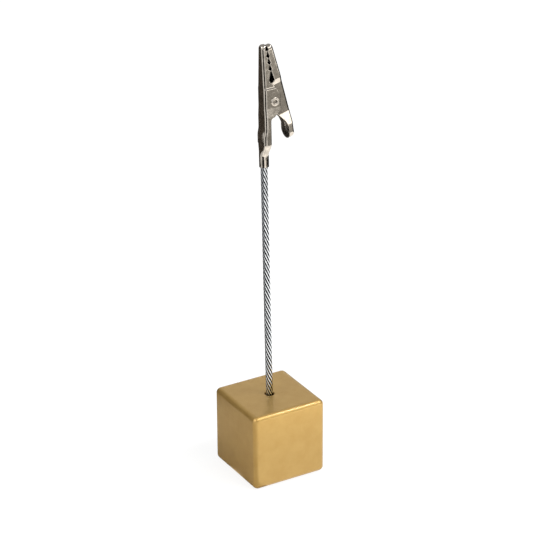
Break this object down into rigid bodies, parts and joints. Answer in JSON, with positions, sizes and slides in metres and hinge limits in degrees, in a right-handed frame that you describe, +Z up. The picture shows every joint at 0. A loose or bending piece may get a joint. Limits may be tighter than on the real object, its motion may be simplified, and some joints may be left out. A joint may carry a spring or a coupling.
{
  "type": "place card holder",
  "caption": "Place card holder: weighted gold metal cube, upright stem of laid steel wire rope, and a sprung toothed clip that grips the card.",
  "frame": {"origin": "centre of the cube's underside", "axes": "+Z up along the stem, +X the way the moving jaw opens, Y along the clip rivet"},
  "size_m": [0.02, 0.02, 0.112],
  "materials": {
    "cube_lacquer": "satin gold lacquer over solid steel, slightly mottled",
    "adhesive": "cured clear amber adhesive",
    "rope_wire": "drawn bright steel wire",
    "clip_nickel": "nickel-plated stamped sheet steel, semi-bright",
    "rivet_nickel": "nickel-plated steel, rolled",
    "spring_steel": "oiled spring wire"
  },
  "bodies": {
    "stand": {"base_cube": "cube_lacquer", "hole_adhesive": "adhesive", "rope_core_strand": "rope_wire", "rope_strand_1": "rope_wire", "rope_strand_2": "rope_wire", "rope_strand_3": "rope_wire", "rope_strand_4": "rope_wire", "rope_strand_5": "rope_wire", "rope_strand_6": "rope_wire", "rope_strand_7": "rope_wire", "rope_strand_8": "rope_wire", "fixed_jaw": "clip_nickel", "pivot_rivet": "rivet_nickel", "torsion_spring": "spring_steel"},
    "moving_jaw": {"moving_jaw": "clip_nickel"}
  },
  "joints": [
    {"name": "jaw_hinge", "type": "hinge", "parent": "stand", "child": "moving_jaw", "pos_m": [0.001, 0, 0.09798], "axis": [0, 1, 0], "range_deg": [0, 27], "stiffness_Nm_per_rad": 0.0003, "springref_deg": -45.84, "deforming": ["torsion_spring"]}
  ]
}
